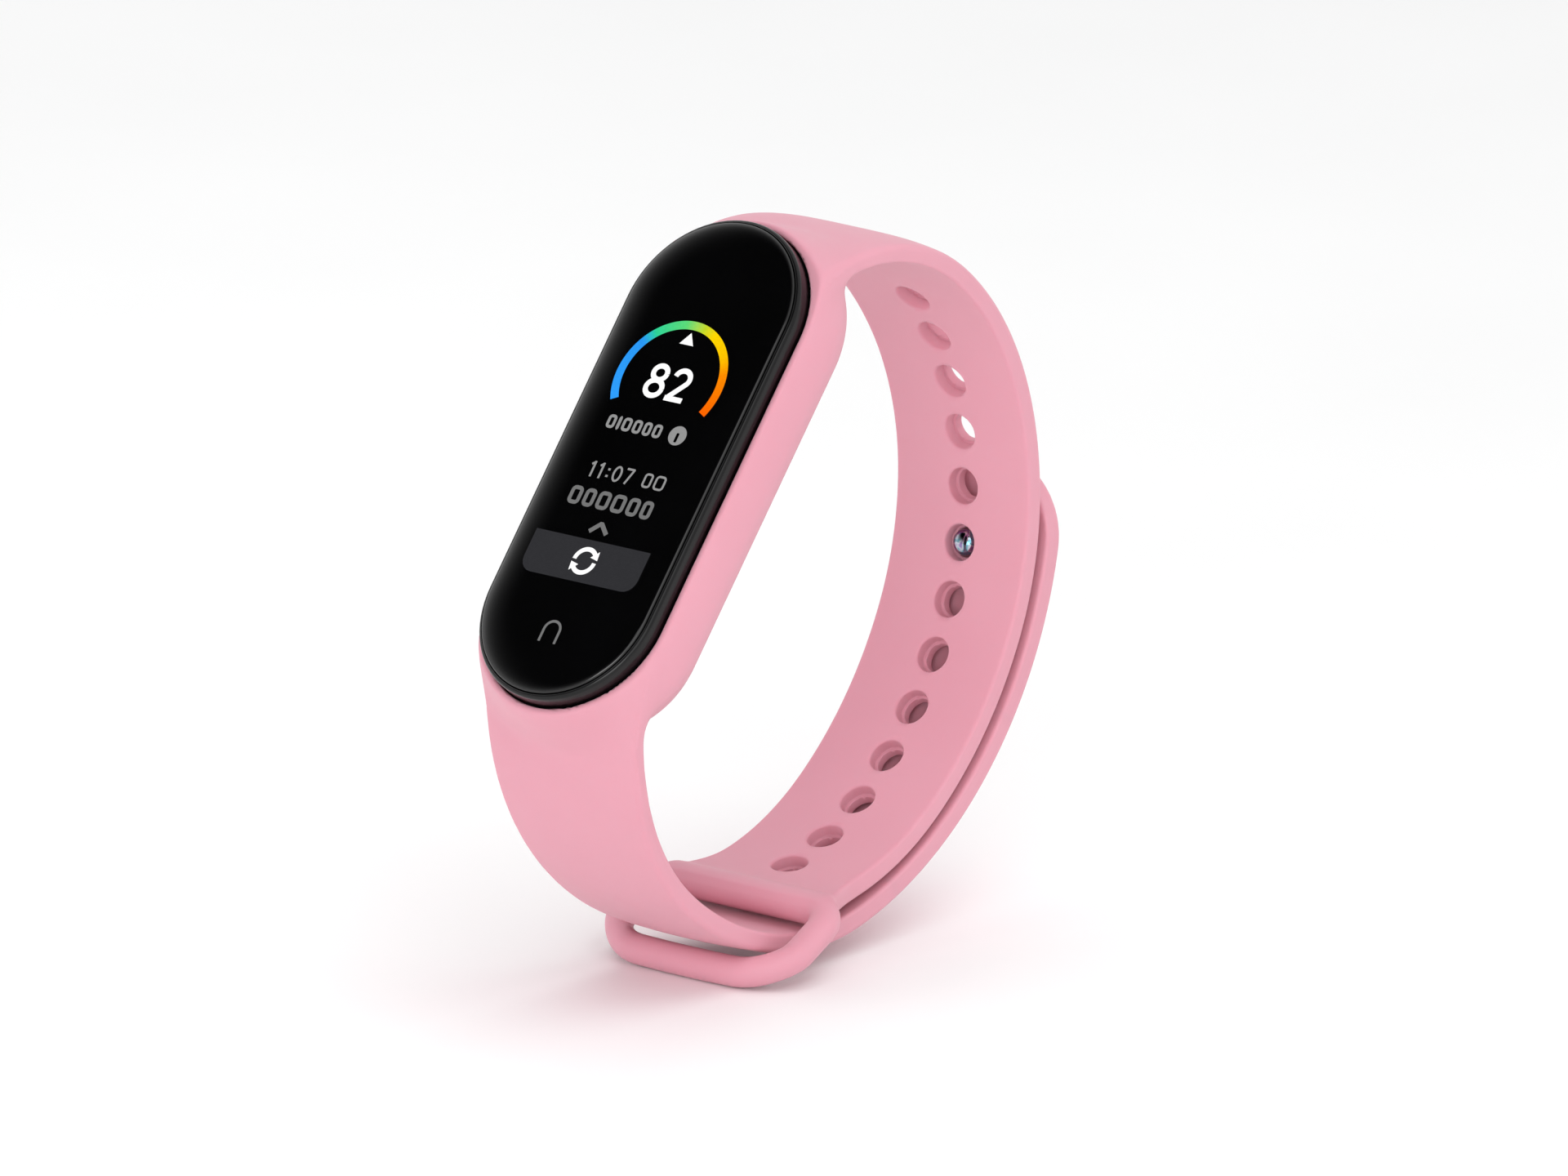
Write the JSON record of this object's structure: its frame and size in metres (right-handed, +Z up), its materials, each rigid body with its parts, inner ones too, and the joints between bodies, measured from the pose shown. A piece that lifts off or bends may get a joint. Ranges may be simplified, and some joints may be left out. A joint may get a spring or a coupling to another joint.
{
  "type": "fitness tracker band",
  "caption": "Wrist band for tracking activity: a glossy stadium-shaped tracker sits in a soft pink one-piece strap, closed in a ring by a stud in a row of holes and a loop.",
  "frame": {"origin": "centre of the wrist opening, midway across the strap's width", "axes": "+X along the wrist, across the strap; +Z up as the band stands, with the screen leaning back 40 degrees and facing -Y and up"},
  "size_m": [0.0224, 0.0641, 0.0656],
  "materials": {
    "silicone": "soft satin, moulded",
    "polished_metal": "polished",
    "cover_glass": "black-backed, polished",
    "adhesive": "matt",
    "touch_film": "clear film",
    "copper": "satin copper",
    "display": "polished black",
    "foam": "soft matt foam",
    "flex_circuit": "amber film",
    "black_gloss": "polished black",
    "seal_rubber": "matt",
    "dark_lens": "polished, smoky",
    "circuit_board": "solder mask",
    "led_lens": "clear green",
    "silicon": "polished",
    "matt_black": "matt",
    "tinned_steel": "tinned",
    "chip_resin": "moulded resin",
    "cream_plastic": "moulded",
    "battery_foil": "pouch foil",
    "motor_steel": "drawn steel",
    "tungsten": "sintered",
    "gold": "gold plated"
  },
  "bodies": {
    "band": {"strap": "silicone"},
    "tail_middle": {"strap_tail_middle": "silicone"},
    "tail_tip": {"strap_tail_tip": "silicone", "clasp_stud": "polished_metal", "clasp_disc_cap": "polished_metal"},
    "tracker": {"cover_glass": "cover_glass", "glass_adhesive": "adhesive", "touch_sensor": "touch_film", "touch_key_pad": "copper", "display_panel": "display", "display_foam": "foam", "display_flex": "flex_circuit", "mid_frame": "black_gloss", "housing_gasket": "seal_rubber", "rear_housing": "black_gloss", "sensor_window": "dark_lens", "sensor_board": "circuit_board", "green_leds": "led_lens", "photodiode": "silicon", "light_barrier": "matt_black", "sensor_flex": "flex_circuit", "main_board": "circuit_board", "shield_can": "tinned_steel", "board_chips": "chip_resin", "board_connector": "cream_plastic", "battery_cell": "battery_foil", "battery_board": "circuit_board", "battery_foam": "foam", "motor_base": "tinned_steel", "motor_case": "motor_steel", "motor_shaft": "motor_steel", "charge_contacts": "gold", "contact_seals": "seal_rubber", "antenna": "copper"},
    "rotor": {"motor_rotor": "tungsten"}
  },
  "joints": [
    {"name": "tracker_release", "type": "slide", "parent": "band", "child": "tracker", "axis": [0, -0.766, 0.6428], "range_m": [0, 0.016]},
    {"name": "tail_lift", "type": "hinge", "parent": "band", "child": "tail_middle", "pos_m": [0, 0.01675, -0.01521], "axis": [-1, 0, 0], "range_deg": [0, 35], "stiffness_Nm_per_rad": 0.004, "springref_deg": -5.73},
    {"name": "tail_tip_lift", "type": "hinge", "parent": "tail_middle", "child": "tail_tip", "pos_m": [0, 0.02243, -0.00679], "axis": [-1, 0, 0], "range_deg": [0, 35], "stiffness_Nm_per_rad": 0.004, "springref_deg": -5.73},
    {"name": "motor_spin", "type": "hinge", "parent": "tracker", "child": "rotor", "pos_m": [0, -0.00923, 0.02758], "axis": [0, -0.766, 0.6428], "continuous": true}
  ],
  "couplings": [
    {"joint": "tail_tip_lift", "follows": "tail_lift", "ratio": 1}
  ]
}
